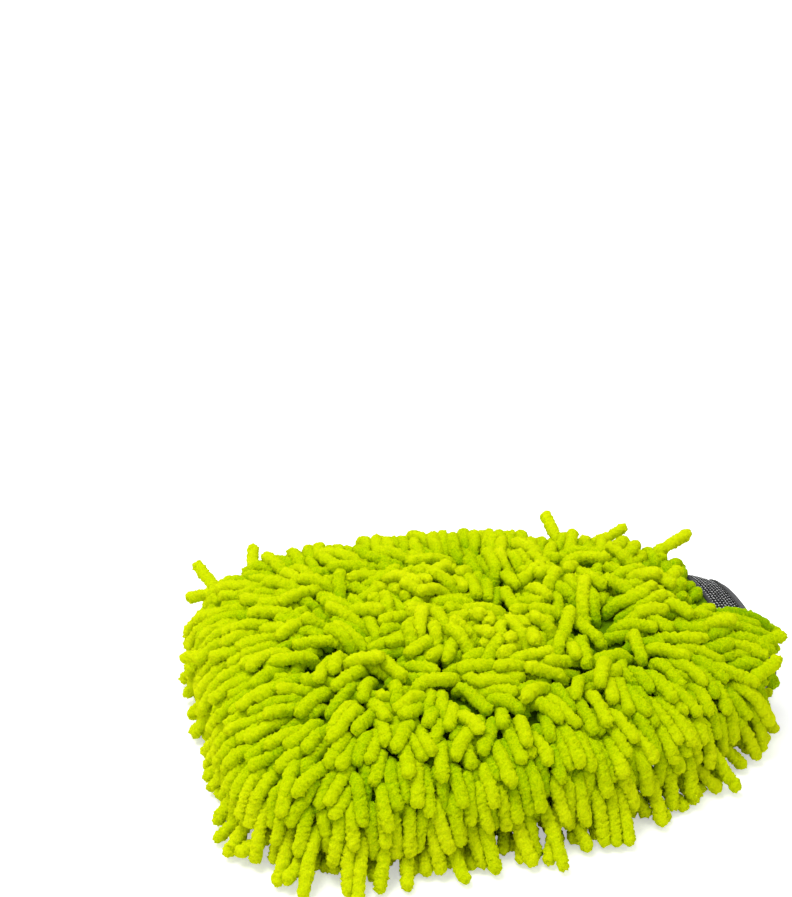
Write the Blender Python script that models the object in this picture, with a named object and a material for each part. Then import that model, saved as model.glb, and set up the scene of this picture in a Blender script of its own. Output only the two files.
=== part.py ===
"""A chenille wash mitt lying flat on its palm side, its finger end towards -X and its cuff towards +X.

The mitt is built as it is sewn: two tufted panels (base cloth and rows of chenille), a foam sheet and a
lining panel behind each, one overlocked seam round three sides, and an elastic cuff in the fourth side.
The origin is on the surface that the mitt lies on, under the middle of its bounding box.
"""

import math

import bmesh
import bpy

# Overall size: end to end of the fringe, side to side of it, and floor to the crown of the pile.
MITT_LENGTH = 0.284
MITT_WIDTH = 0.235
MITT_HEIGHT = 0.062
SEAM_Z = 0.026

# The sewn fabric body inside the fringe.
FRINGE = 0.025
FABRIC_TIP_X = -MITT_LENGTH / 2 + FRINGE
FABRIC_END_X = 0.112
FABRIC_HALF_WIDTH = MITT_WIDTH / 2 - FRINGE + 0.0005
FABRIC_CORNER = 0.045
FABRIC_RISE = 0.022
FABRIC_DROP = 0.022
FABRIC_FLOOR_Z = 0.0103

# Where the body narrows to the neck that the cuff is sewn into.
SHOULDER_X = -0.020
NECK_HALF_WIDTH = 0.050
NECK_RISE = 0.0175
NECK_DROP = 0.0150
SHOULDER_POWER = 1.8

# The outside of the chenille pile. Its drop is cut off by the floor, so its sides stand nearly upright.
PILE_TIP_X = -MITT_LENGTH / 2
PILE_END_X = MITT_LENGTH / 2
PILE_CORNER = 0.055
PILE_RISE = MITT_HEIGHT - SEAM_Z
PILE_DROP = 0.090
PILE_NECK_HALF_WIDTH = 0.066
PILE_NECK_RISE = 0.022
PILE_GAP = 0.0006

# How far from its tip a surface takes to climb to its full height, and how round its section is.
TIP_CLIMB = 0.058
SECTION_POWER = 0.9

# Sheet thicknesses, and the gap kept between neighbours.
GAP = 0.0003
CLOTH = 0.0010
FOAM = 0.0035
LINING = 0.0008
CUFF_PLY = 0.0010
ELASTIC = 0.0009
BINDING = 0.0009

# Depth of each sheet's outer face under the outer face of the base cloth.
FOAM_INSET = CLOTH + GAP
LINING_INSET = FOAM_INSET + FOAM + GAP
INNER_PLY_INSET = FOAM_INSET + FOAM - CUFF_PLY
ELASTIC_INSET = FOAM_INSET + CUFF_PLY + GAP

# The overlocked seam allowance, turned in between the rims of the upper and the lower sheets.
SEAM_HALF_GAP = 0.0012
SEAM_HALF_THICKNESS = 0.0009
SEAM_INSET = 0.0020
SEAM_WIDTH = 0.0070

# The cuff, from where it is tucked behind the base cloth to its mouth.
CUFF_START_X = 0.104
FOAM_END_X = CUFF_START_X - GAP
CUFF_PLY_END_X = 0.131
CUFF_MOUTH_X = 0.133
CUFF_MOUTH_HALF_WIDTH = 0.036
CUFF_CORNER_POWER = 2.0
CUFF_MOUTH_RISE = 0.0100
CUFF_MOUTH_DROP = 0.0125
ELASTIC_START_X = 0.117
ELASTIC_END_X = 0.1295
BINDING_START_X = 0.1282
TOPSTITCH_X = 0.1292
TOPSTITCH_THREAD = 0.0005
JOIN_RING_WIDTH = 0.0024
JOIN_RING_THICKNESS = 0.0014

# Rows of chenille on each panel, which also set how finely the sheets are divided across.
ROWS_PER_PANEL = 20
SECTION_SAMPLES = 400

# Places along the body, as distances from its finger tip.
STATIONS = [0.0, 0.003, 0.012, 0.026, 0.045, 0.090, 0.140, 0.172, 0.195, 0.212, 0.221]

CHENILLE_LIME = (0.50, 0.62, 0.010)
CLOTH_GREEN = (0.30, 0.42, 0.012)
FOAM_WHITE = (0.78, 0.78, 0.72)
LINING_GREY = (0.32, 0.33, 0.34)
CUFF_GREY = (0.10, 0.11, 0.11)
BINDING_GREY = (0.14, 0.15, 0.15)
ELASTIC_WHITE = (0.70, 0.70, 0.68)
THREAD_GREEN = (0.36, 0.46, 0.030)


def clear_scene():
    for obj in list(bpy.data.objects):
        bpy.data.objects.remove(obj)


def make_material(name, colour, roughness=0.9):
    material = bpy.data.materials.new(name)
    material.use_nodes = True
    shader = material.node_tree.nodes["Principled BSDF"]
    shader.inputs["Base Color"].default_value = (*colour, 1.0)
    shader.inputs["Roughness"].default_value = roughness
    shader.inputs["Metallic"].default_value = 0.0
    return material


def half_width_at(x, tip_x, full, corner, end_x, neck):
    """Half the width of a plan outline: rounded tip corners, parallel sides, then a shoulder to the neck."""
    if x < tip_x + corner:
        reach = tip_x + corner - x
        return full - corner + math.sqrt(max(corner**2 - reach**2, 0.0))
    if x > SHOULDER_X:
        share = min((x - SHOULDER_X) / (end_x - SHOULDER_X), 1.0)
        return neck + (full - neck) * (1 - share**SHOULDER_POWER)
    return full


def height_at(x, tip_x, full, end_x, neck):
    """The height of a surface over the seam plane: it climbs from the tip and eases down to the neck."""
    climb = min((x - tip_x) / TIP_CLIMB, 1.0)
    height = full * math.sqrt(max(1 - (1 - climb) ** 2, 0.0))
    share = min(max((x - SHOULDER_X) / (end_x - SHOULDER_X), 0.0), 1.0)
    return height + (neck - full) * share**2


def row_angles():
    """Angles round half of a section that divide the panel into rows of equal width."""
    points = []
    for step in range(SECTION_SAMPLES + 1):
        angle = math.pi * step / SECTION_SAMPLES
        rise = FABRIC_RISE * math.sin(angle) ** SECTION_POWER
        points.append((angle, FABRIC_HALF_WIDTH * math.cos(angle), rise))
    travelled = [0.0]
    for (_, y0, z0), (_, y1, z1) in zip(points, points[1:]):
        travelled.append(travelled[-1] + math.hypot(y1 - y0, z1 - z0))
    angles = []
    for row in range(ROWS_PER_PANEL + 1):
        wanted = travelled[-1] * row / ROWS_PER_PANEL
        index = next(i for i, length in enumerate(travelled) if length >= wanted - 1e-9)
        angles.append(points[index][0])
    angles[-1] = math.pi
    return angles


def section_point(x, half_width, height, angle, upper, seam_gap, floor_z):
    """A point of a body's section: upper sheets rise from the seam plane, lower ones lie flat on floor_z."""
    lift = max(height * abs(math.sin(angle)) ** SECTION_POWER, seam_gap)
    z = SEAM_Z + lift if upper else max(SEAM_Z - lift, floor_z)
    return (x, half_width * math.cos(angle), z)


def fabric_curve(station, inset, angle, upper, seam_gap, end_x=FABRIC_END_X):
    """A point on the fabric body's surface, inset from the outer face of the base cloth."""
    tip_x = FABRIC_TIP_X + inset
    x = tip_x + station * (end_x - tip_x)
    half_width = half_width_at(x, tip_x, FABRIC_HALF_WIDTH - inset, FABRIC_CORNER,
                               FABRIC_END_X, NECK_HALF_WIDTH - inset)
    full, neck = (FABRIC_RISE, NECK_RISE) if upper else (FABRIC_DROP, NECK_DROP)
    height = height_at(x, tip_x, full - inset, FABRIC_END_X, neck - inset)
    return section_point(x, half_width, height, angle, upper, seam_gap, FABRIC_FLOOR_Z + inset)


def pile_curve(x_share, angle, upper):
    """A point on the outside of the pile, from the fringe tip at 0 to its end over the cuff at 1."""
    x = PILE_TIP_X + x_share * (PILE_END_X - PILE_TIP_X)
    half_width = half_width_at(x, PILE_TIP_X, MITT_WIDTH / 2, PILE_CORNER,
                               PILE_END_X, PILE_NECK_HALF_WIDTH)
    full, neck = (PILE_RISE, PILE_NECK_RISE) if upper else (PILE_DROP, PILE_DROP)
    height = height_at(x, PILE_TIP_X, full, PILE_END_X, neck)
    return section_point(x, half_width, height, angle, upper, GAP, 0.0)


def add_object(name, vertices, faces, material):
    """An object from points and triangles, with its faces turned outwards."""
    mesh = bpy.data.meshes.new(name)
    mesh.from_pydata(vertices, [], faces)
    shape = bmesh.new()
    shape.from_mesh(mesh)
    bmesh.ops.recalc_face_normals(shape, faces=shape.faces)
    shape.to_mesh(mesh)
    shape.free()
    mesh.materials.append(material)
    mesh.shade_smooth()
    mesh.set_sharp_from_angle(angle=math.radians(40))
    obj = bpy.data.objects.new(name, mesh)
    bpy.context.scene.collection.objects.link(obj)
    return obj


def grid_triangles(columns, first, second):
    """Two triangles for each cell between two lines of points, always cut along the same diagonal."""
    triangles = []
    for i in range(columns - 1):
        triangles.append((first + i, first + i + 1, second + i + 1))
        triangles.append((first + i, second + i + 1, second + i))
    return triangles


def add_shell(name, outer, inner, material):
    """A closed sheet between two grids of points: outer[line][place] and inner[line][place].

    The diagonals of the front half mirror those of the back half.
    """
    lines, places = len(outer), len(outer[0])
    vertices = [point for grid in (outer, inner) for line in grid for point in line]
    under = lines * places
    faces = []
    for line in range(lines - 1):
        first, second = line * places, (line + 1) * places
        if outer[line][-1][1] + outer[line + 1][-1][1] < 0:
            first, second = second, first
        faces += grid_triangles(places, first, second)
        faces += grid_triangles(places, under + first, under + second)
    faces += grid_triangles(places, 0, under)
    faces += grid_triangles(places, under - places, 2 * under - places)
    for line in range(lines - 1):
        for place in (0, places - 1):
            corner = line * places + place
            after = corner + places
            faces.append((corner, after, under + after))
            faces.append((corner, under + after, under + corner))
    return add_object(name, vertices, faces, material)


def add_ring(name, loops, material):
    """A closed band: each loop is one turn round the cuff, and the last loop joins the first."""
    turn = len(loops[0])
    vertices = [point for loop in loops for point in loop]
    faces = []
    for index in range(len(loops)):
        here, after = index * turn, (index + 1) % len(loops) * turn
        for place in range(turn):
            beside = (place + 1) % turn
            faces.append((here + place, here + beside, after + beside))
            faces.append((here + place, after + beside, after + place))
    return add_object(name, vertices, faces, material)


def station_shares(end_x=FABRIC_END_X):
    """STATIONS as shares of the way from the fabric's tip to end_x, without those past it."""
    length = end_x - FABRIC_TIP_X
    shares = [distance / length for distance in STATIONS if distance < length - 0.002]
    return [*shares, 1.0]


def sheet_grid(inset, upper, angles, end_x):
    return [[fabric_curve(share, inset, angle, upper, SEAM_HALF_GAP, end_x)
             for share in station_shares(end_x)] for angle in angles]


def build_sheets(angles):
    """The base cloth, foam and lining of the upper and of the lower panel."""
    sheets = [
        ("base_cloth", 0.0, CLOTH, FABRIC_END_X, make_material("base_cloth", CLOTH_GREEN)),
        ("foam_sheet", FOAM_INSET, FOAM, FOAM_END_X, make_material("foam", FOAM_WHITE)),
        ("lining_panel", LINING_INSET, LINING, FOAM_END_X, make_material("lining", LINING_GREY)),
    ]
    for side, upper in (("top", True), ("bottom", False)):
        for name, inset, thickness, end_x, material in sheets:
            outer = sheet_grid(inset, upper, angles, end_x)
            inner = sheet_grid(inset + thickness, upper, angles, end_x)
            add_shell(f"{side}_{name}", outer, inner, material)


def build_chenille_rows(angles):
    """One solid for each tufted row, from the base cloth to the outside of the pile and over the cuff."""
    material = make_material("chenille", CHENILLE_LIME)
    shares = station_shares()
    under_tip_x = FABRIC_TIP_X - PILE_GAP
    for side, upper in (("top", True), ("bottom", False)):
        for row in range(ROWS_PER_PANEL):
            outer, inner = [], []
            for angle, inward in ((angles[row], 1), (angles[row + 1], -1)):
                edge = min(max(angle + inward * row_clearance(angle), 0.0), math.pi)
                under = [fabric_curve(share, -PILE_GAP, edge, upper, SEAM_HALF_GAP) for share in shares]
                under.append((PILE_END_X, under[-1][1], under[-1][2]))
                outside = [pile_curve((point[0] - under_tip_x) / (PILE_END_X - under_tip_x), edge, upper)
                           for point in under]
                outer.append(outside)
                inner.append(under)
            add_shell(f"{side}_chenille_row_{row + 1:02d}", outer, inner, material)


def row_clearance(angle):
    """The angle that keeps a row about half a gap clear of its neighbour, and none at the seam plane."""
    if angle in (0.0, math.pi):
        return 0.0
    sideways = FABRIC_HALF_WIDTH * math.sin(angle)
    upwards = FABRIC_RISE * math.cos(angle)
    return 0.6 * GAP / math.hypot(sideways, upwards)


def build_body_seam():
    """The overlocked seam, a flat band round three sides between the rims of the sheets."""
    shares = station_shares(FOAM_END_X)
    levels = (SEAM_Z + SEAM_HALF_THICKNESS, SEAM_Z - SEAM_HALF_THICKNESS)

    def edge(inset):
        back = [fabric_curve(share, inset, 0.0, True, 0.0, FOAM_END_X) for share in shares]
        front = [(x, -y, z) for x, y, z in back]
        return [*reversed(back), *front]

    grids = [[[(x, y, level) for x, y, _ in edge(inset)] for inset in (SEAM_INSET, SEAM_INSET + SEAM_WIDTH)]
             for level in levels]
    add_shell("body_overlock_seam", grids[0], grids[1], make_material("overlock_thread", THREAD_GREEN))


def cuff_loop(x, inset, angles):
    """One turn round the cuff at x, inset from the outer face of the base cloth."""
    if x <= FABRIC_END_X:
        half_width = half_width_at(x, FABRIC_TIP_X, FABRIC_HALF_WIDTH, FABRIC_CORNER,
                                   FABRIC_END_X, NECK_HALF_WIDTH)
        rise = height_at(x, FABRIC_TIP_X, FABRIC_RISE, FABRIC_END_X, NECK_RISE)
        drop = height_at(x, FABRIC_TIP_X, FABRIC_DROP, FABRIC_END_X, NECK_DROP)
    else:
        share = (x - FABRIC_END_X) / (CUFF_MOUTH_X - FABRIC_END_X)
        bend = share**CUFF_CORNER_POWER
        half_width = NECK_HALF_WIDTH + (CUFF_MOUTH_HALF_WIDTH + FOAM_INSET - NECK_HALF_WIDTH) * bend
        rise = NECK_RISE + (CUFF_MOUTH_RISE + FOAM_INSET - NECK_RISE) * bend
        drop = NECK_DROP + (CUFF_MOUTH_DROP + FOAM_INSET - NECK_DROP) * bend
    upper = [section_point(x, half_width - inset, rise - inset, angle, True, 0.0, 0.0)
             for angle in angles]
    lower = [section_point(x, half_width - inset, drop - inset, angle, False, 0.0, FABRIC_FLOOR_Z + inset)
             for angle in reversed(angles[1:-1])]
    return upper + lower


def add_cuff_tube(name, places, inset, thickness, angles, material):
    outside = [cuff_loop(x, inset, angles) for x in places]
    inside = [cuff_loop(x, inset + thickness, angles) for x in reversed(places)]
    return add_ring(name, outside + inside, material)


def build_cuff(angles):
    knit = make_material("cuff_knit", CUFF_GREY)
    binding = make_material("cuff_binding", BINDING_GREY)
    elastic = make_material("elastic", ELASTIC_WHITE)
    thread = make_material("join_thread", BINDING_GREY)
    ply_places = [CUFF_START_X, FABRIC_END_X, 0.117, 0.122, 0.127, CUFF_PLY_END_X]
    add_cuff_tube("cuff_outer_ply", ply_places, FOAM_INSET, CUFF_PLY, angles, knit)
    add_cuff_tube("cuff_inner_ply", ply_places, INNER_PLY_INSET, CUFF_PLY, angles, knit)
    elastic_places = [ELASTIC_START_X, 0.122, 0.127, ELASTIC_END_X]
    add_cuff_tube("cuff_elastic_band", elastic_places, ELASTIC_INSET, ELASTIC, angles, elastic)
    join_places = [FABRIC_END_X + GAP, FABRIC_END_X + GAP + JOIN_RING_WIDTH]
    add_cuff_tube("cuff_join_overlock", join_places, FOAM_INSET - GAP - JOIN_RING_THICKNESS,
                  JOIN_RING_THICKNESS, angles, thread)
    build_cuff_binding(angles, binding)
    build_cuff_topstitch(angles, thread)


def build_cuff_topstitch(angles, material):
    """The thread that holds the edge binding, laid round its outer face."""
    inner = FOAM_INSET - 2 * GAP - BINDING
    half = TOPSTITCH_THREAD / 2
    profile = [(-half, 0.0), (0.0, -half), (half, 0.0), (0.0, half)]
    loops = [cuff_loop(TOPSTITCH_X + along, inner - half + out, angles) for along, out in profile]
    add_ring("cuff_topstitch_thread", loops, material)


def build_cuff_binding(angles, material):
    """A U-shaped tape folded over the ends of both plies, with a rounded mouth."""
    outside = FOAM_INSET - GAP - BINDING
    outer_face = FOAM_INSET - GAP
    inner_face = INNER_PLY_INSET + CUFF_PLY + GAP
    inside = inner_face + BINDING
    web_x = CUFF_PLY_END_X + GAP
    round_off = 0.0009
    profile = [
        (BINDING_START_X, outside),
        (CUFF_MOUTH_X - round_off, outside),
        (CUFF_MOUTH_X, outside + round_off),
        (CUFF_MOUTH_X, inside - round_off),
        (CUFF_MOUTH_X - round_off, inside),
        (BINDING_START_X, inside),
        (BINDING_START_X, inner_face),
        (web_x, inner_face),
        (web_x, outer_face),
        (BINDING_START_X, outer_face),
    ]
    add_ring("cuff_edge_binding", [cuff_loop(x, inset, angles) for x, inset in profile], material)


def main():
    clear_scene()
    angles = row_angles()
    build_sheets(angles)
    build_chenille_rows(angles)
    build_body_seam()
    build_cuff(angles)


main()
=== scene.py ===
"""A chenille wash mitt: settled microfibre strands, sewn cloth layers and an elastic knit cuff.

The strands grow from the base cloth in rows, fall and press on each other in a small simulation of their
own, and are swept into tubes. All lengths are in metres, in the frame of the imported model.
"""

import itertools
import math

import bmesh
import bpy
import numpy as np
from mathutils import Matrix, Vector
from mathutils.bvhtree import BVHTree


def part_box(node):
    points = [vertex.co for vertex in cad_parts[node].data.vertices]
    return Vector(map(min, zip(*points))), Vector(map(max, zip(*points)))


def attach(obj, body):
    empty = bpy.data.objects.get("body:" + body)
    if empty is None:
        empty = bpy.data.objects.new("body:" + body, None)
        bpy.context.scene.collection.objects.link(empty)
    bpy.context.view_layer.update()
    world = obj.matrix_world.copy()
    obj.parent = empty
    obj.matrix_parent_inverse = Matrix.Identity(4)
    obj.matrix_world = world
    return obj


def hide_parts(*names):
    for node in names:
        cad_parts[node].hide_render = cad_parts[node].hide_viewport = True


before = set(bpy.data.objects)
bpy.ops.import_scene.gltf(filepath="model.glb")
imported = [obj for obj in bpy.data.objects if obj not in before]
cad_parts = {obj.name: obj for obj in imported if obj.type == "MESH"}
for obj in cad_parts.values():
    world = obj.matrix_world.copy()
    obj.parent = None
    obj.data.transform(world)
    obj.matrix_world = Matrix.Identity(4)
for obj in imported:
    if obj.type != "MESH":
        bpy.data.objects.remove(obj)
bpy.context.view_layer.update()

# The sewn body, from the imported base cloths.
TOP_LOW, TOP_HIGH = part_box("top_base_cloth")
BOTTOM_LOW, BOTTOM_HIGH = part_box("bottom_base_cloth")
TIP_X, CLOTH_END_X = TOP_LOW.x, TOP_HIGH.x
HALF_WIDTH = TOP_HIGH.y
SEAM_Z = (TOP_LOW.z + BOTTOM_HIGH.z) / 2
CROWN = TOP_HIGH.z - SEAM_Z
BELLY = 0.022
BELLY_FLOOR_Z = BOTTOM_LOW.z
CORNER = 0.045
SHOULDER_X = -0.020
SHOULDER_POWER = 1.8
TIP_CLIMB = 0.058
SECTION_POWER = 0.9
NECK_HALF_WIDTH = 0.050
NECK_RISE = 0.0175
NECK_DROP = 0.0150

# The cuff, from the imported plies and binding.
CUFF_START_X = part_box("cuff_outer_ply")[0].x
MOUTH_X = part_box("cuff_edge_binding")[1].x
MOUTH_HALF_WIDTH = 0.0373
MOUTH_RISE = 0.0113
MOUTH_DROP = 0.0138
CUFF_POWER = 2.0

# Chenille strands.
ROWS = sum(1 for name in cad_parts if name.startswith("top_chenille_row"))
TOP_STRAND, BOTTOM_STRAND = 0.0265, 0.0295
STRAND_LENGTH_SPREAD = 0.0030
STRAND_RADIUS = 0.00298
TOP_CELL_AREA = 54e-6
BOTTOM_CELL_AREA = 90e-6
LINKS = 7
SEED = 11
HANGING_START_Y, HANGING_EXTRA = 0.05, 0.004
# Depth of pile over which the strands' painted shade runs from dark at the skin to pale at the outside.
PILE_DEPTH = 0.015

# How the strands by the cuff lie, and their length: clear of its back corner, and over the rest.
CUFF_LIE_X = 0.080
CORNER_SPLIT_Y = -0.012
BACK_CORNER_LIE = (-1.1, 0.9, 0.0)
BACK_STRANDS_X, BACK_CORNER_STRAND = 0.088, 0.012
BACK_EDGE_Y, BACK_EDGE_STRAND = 0.026, 0.020
MOUTH_LIE = (0.8, -0.1, 0.0)
MOUTH_STRANDS_X, MOUTH_STRAND = 0.095, 0.033

# Strands that stand clear of the pile: where each tip points, and how far that is from its root.
STRAY_STIFFNESS = 0.5
STRAY_ROOT_LIFT = 0.008
TAKEN = 1.0
STRAYS = [
    ((-0.122, 0.114, 0.030), 0.036), ((-0.131, 0.083, 0.030), 0.036), ((-0.091, 0.121, 0.032), 0.033),
    ((-0.140, 0.032, 0.030), 0.033), ((-0.115, -0.107, 0.006), 0.036), ((-0.132, -0.084, 0.006), 0.036),
    ((-0.092, -0.104, 0.005), 0.034), ((0.058, 0.096, 0.047), 0.034), ((0.095, 0.074, 0.047), 0.034),
    ((0.126, 0.064, 0.045), 0.036), ((0.137, -0.033, 0.045), 0.034),
    ((0.144, -0.014, 0.032), 0.034), ((0.128, -0.049, 0.044), 0.034),
]


def rows_of_bands(count):
    """Angles round half of a section that share its length out equally."""
    angle = np.linspace(0, math.pi, 4001)
    y = HALF_WIDTH * np.cos(angle)
    z = CROWN * np.sin(angle) ** SECTION_POWER
    length = np.concatenate([[0], np.cumsum(np.hypot(np.diff(y), np.diff(z)))])
    return np.interp(np.linspace(0, length[-1], count + 1), length, angle)


def plan_half_width(x, depth=0.0):
    """Half the width of the sewn body and its cuff at x, for a face at the given depth under the skin."""
    reach = np.clip(TIP_X + depth + CORNER - x, 0, CORNER)
    tip = HALF_WIDTH - CORNER + np.sqrt(CORNER**2 - reach**2)
    share = np.clip((x - SHOULDER_X) / (CLOTH_END_X - SHOULDER_X), 0, 1)
    shoulder = NECK_HALF_WIDTH + (HALF_WIDTH - NECK_HALF_WIDTH) * (1 - share**SHOULDER_POWER)
    along = np.clip((x - CLOTH_END_X) / (MOUTH_X - CLOTH_END_X), 0, 1) ** CUFF_POWER
    cuff = NECK_HALF_WIDTH + (MOUTH_HALF_WIDTH - NECK_HALF_WIDTH) * along
    return np.where(x > CLOTH_END_X, cuff, np.minimum(tip, shoulder)) - depth


def section_height(x, full, neck, mouth, depth=0.0):
    """How far the body or the cuff stands off the seam plane at x, in the middle of its section."""
    climb = np.clip((x - TIP_X - depth) / TIP_CLIMB, 0, 1)
    rise = (full - depth) * np.sqrt(1 - (1 - climb) ** 2)
    share = np.clip((x - SHOULDER_X) / (CLOTH_END_X - SHOULDER_X), 0, 1)
    body = rise + (neck - full) * share**2
    along = np.clip((x - CLOTH_END_X) / (MOUTH_X - CLOTH_END_X), 0, 1) ** CUFF_POWER
    return np.where(x > CLOTH_END_X, neck + (mouth - neck) * along - depth, body)


def body_point(x, angle, depth=0.0, rim=0.0, upper=None):
    """Points on a face of the body; angles past half a turn are on the lower side.

    rim is the least height that an upper or a lower layer keeps from the seam plane.
    """
    x, angle = np.broadcast_arrays(np.asarray(x, float), np.asarray(angle, float))
    if upper is None:
        upper = np.sin(angle) >= 0
    curve = np.abs(np.sin(angle)) ** SECTION_POWER
    rise = np.maximum(section_height(x, CROWN, NECK_RISE, MOUTH_RISE, depth) * curve, rim)
    drop = np.maximum(section_height(x, BELLY, NECK_DROP, MOUTH_DROP, depth) * curve, rim)
    z = np.where(upper, SEAM_Z + rise, np.maximum(SEAM_Z - drop, BELLY_FLOOR_Z + depth))
    return np.stack([x, plan_half_width(x, depth) * np.cos(angle), z], -1)


def stations(end_x, nose_steps, body_steps, depth=0.0, start=0.0):
    """Places along the mitt, closer together where its finger end climbs."""
    nose = TIP_X + depth + TIP_CLIMB * (1 - np.cos(np.linspace(start, math.pi / 2, nose_steps)))
    return np.concatenate([nose, np.linspace(nose[-1], end_x, body_steps)[1:]])


class BodyField:
    """Distance to the sewn body on a grid, with the direction straight away from it."""

    STEP = 0.004
    LOW = np.array([-0.172, -0.148, -0.012])
    HIGH = np.array([0.188, 0.148, 0.092])

    def __init__(self):
        xs = stations(MOUTH_X, 14, 40)
        around = 96
        angles = np.linspace(0, 2 * math.pi, around, endpoint=False)
        skin = body_point(xs[:, None], angles[None, :]).reshape(-1, 3)
        faces = []
        for ring in range(len(xs) - 1):
            for place in range(around):
                beside = (place + 1) % around
                start = ring * around
                faces.append((start + place, start + beside, start + around + beside, start + around + place))
        mouth = len(skin) - around
        faces.append(tuple(mouth + place for place in range(around)))
        tree = BVHTree.FromPolygons([Vector(p) for p in skin], faces)
        axes = [np.arange(lo, hi + self.STEP / 2, self.STEP) for lo, hi in zip(self.LOW, self.HIGH)]
        self.shape = np.array([len(axis) for axis in axes])
        points = np.stack(np.meshgrid(*axes, indexing="ij"), -1).reshape(-1, 3)
        distance = np.array([tree.find_nearest(p)[3] for p in points.tolist()])
        distance[self.inside(points)] *= -1
        self.values = distance.reshape(self.shape)
        self.slopes = np.stack(np.gradient(self.values, self.STEP), -1)

    @staticmethod
    def inside(points):
        x, y, z = points.T
        half = plan_half_width(x)
        across = np.sqrt(np.clip(1 - (y / half) ** 2, 0, 1)) ** SECTION_POWER
        top = SEAM_Z + section_height(x, CROWN, NECK_RISE, MOUTH_RISE) * across
        under = SEAM_Z - section_height(x, BELLY, NECK_DROP, MOUTH_DROP) * across
        under = np.maximum(under, BELLY_FLOOR_Z)
        return (x > TIP_X) & (x < MOUTH_X) & (np.abs(y) < half) & (z < top) & (z > under)

    def sample(self, points):
        """Distance and outward direction at each point, blended between grid places."""
        place = np.clip((points - self.LOW) / self.STEP, 0, self.shape - 1.001)
        base = place.astype(int)
        part = place - base
        distance = np.zeros(len(points))
        slope = np.zeros((len(points), 3))
        for corner in np.ndindex(2, 2, 2):
            at = tuple((base + corner).T)
            weight = np.prod(np.where(corner, part, 1 - part), axis=1)
            distance += weight * self.values[at]
            slope += weight[:, None] * self.slopes[at]
        slope /= np.maximum(np.linalg.norm(slope, axis=1, keepdims=True), 1e-9)
        return distance, slope


def smooth_noise(points, cell, rng):
    """A smooth random number for each point of a plan, between about -1 and 1."""
    size = 64
    table = rng.uniform(-1, 1, (size, size))
    place = points / cell
    base = np.floor(place).astype(int)
    part = place - base
    part = part * part * (3 - 2 * part)
    total = np.zeros(len(points))
    for i, j in np.ndindex(2, 2):
        weight = (part[:, 0] if i else 1 - part[:, 0]) * (part[:, 1] if j else 1 - part[:, 1])
        total += weight * table[(base[:, 0] + i) % size, (base[:, 1] + j) % size]
    return total


def plant_roots(rng):
    """Where each strand leaves the base cloth, row by row: its place, its side and its row."""
    bounds = rows_of_bands(ROWS)
    roots, sides, rows = [], [], []
    xs = stations(CLOTH_END_X - 0.001, 60, 240, start=0.02)
    for side, cell in ((0, TOP_CELL_AREA), (1, BOTTOM_CELL_AREA)):
        turn = -1 if side else 1
        for row in range(ROWS):
            middle = (bounds[row] + bounds[row + 1]) / 2
            line = body_point(xs, turn * middle)
            edges = body_point(xs, turn * bounds[row]) - body_point(xs, turn * bounds[row + 1])
            width = np.linalg.norm(edges, axis=1)
            step = np.linalg.norm(np.diff(line, axis=0), axis=1)
            area = np.concatenate([[0], np.cumsum(step * (width[1:] + width[:-1]) / 2)])
            count = int(area[-1] / cell)
            start = 0.25 + 0.5 * (row % 2)
            wanted = (start + np.arange(count) + rng.uniform(-0.24, 0.24, count)) * cell
            x = np.interp(wanted, area, xs)
            sway = rng.uniform(-0.3, 0.3, count) * (bounds[row + 1] - bounds[row])
            roots.append(body_point(x, turn * (middle + sway)))
            sides.append(np.full(count, side))
            rows.append(np.full(count, row))
    return np.concatenate(roots), np.concatenate(sides), np.concatenate(rows)


def lean_directions(roots, normals, sides, rng):
    """The way each strand leaves its root: up off the cloth, and over in the lie of the nap."""
    count = len(roots)
    plan = roots[:, :2] + 0.4
    whorl = 1.7 * math.pi * smooth_noise(plan, 0.050, rng) + 0.9 * rng.standard_normal(count)
    lie = np.stack([np.cos(whorl), np.sin(whorl), np.zeros(count)], -1)
    forward = np.where(roots[:, 0] > 0, roots[:, 0] / CLOTH_END_X, roots[:, 0] / -TIP_X)
    share = np.stack([forward, roots[:, 1] / plan_half_width(roots[:, 0])], -1)
    share[:, 1] *= 1 - 0.7 * np.clip((roots[:, 0] / CLOTH_END_X - 0.7) / 0.25, 0, 1)
    outward = np.sign(share) * np.abs(share) ** 3
    outward = np.hstack([outward, np.zeros((count, 1))])
    outward /= np.maximum(np.linalg.norm(outward, axis=1, keepdims=True), 1e-6)
    slope = np.linalg.norm(normals[:, :2], axis=1)
    edge = np.clip((slope - 0.25) / 0.5, 0, 1)[:, None]
    pull = np.clip((np.abs(share).max(1) - 0.42) / 0.33, 0, 1)[:, None]
    spread = rng.standard_normal((count, 3)) * (0.34 - 0.12 * edge)
    lie = lie * (1 - pull) + outward * pull + spread
    lie -= normals * np.sum(lie * normals, axis=1, keepdims=True)
    behind = (roots[:, 0] > CUFF_LIE_X) & (roots[:, 1] > CORNER_SPLIT_Y)
    lie[behind] += BACK_CORNER_LIE
    over = (roots[:, 0] > CUFF_LIE_X) & (roots[:, 1] < CORNER_SPLIT_Y)
    lie[over] += MOUTH_LIE
    rise = np.where(sides == 0, 0.80, 0.22)[:, None] + 0.30 * rng.random((count, 1))
    lean = normals * (rise + 0.5 * edge) + lie
    return lean / np.linalg.norm(lean, axis=1, keepdims=True)


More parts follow.
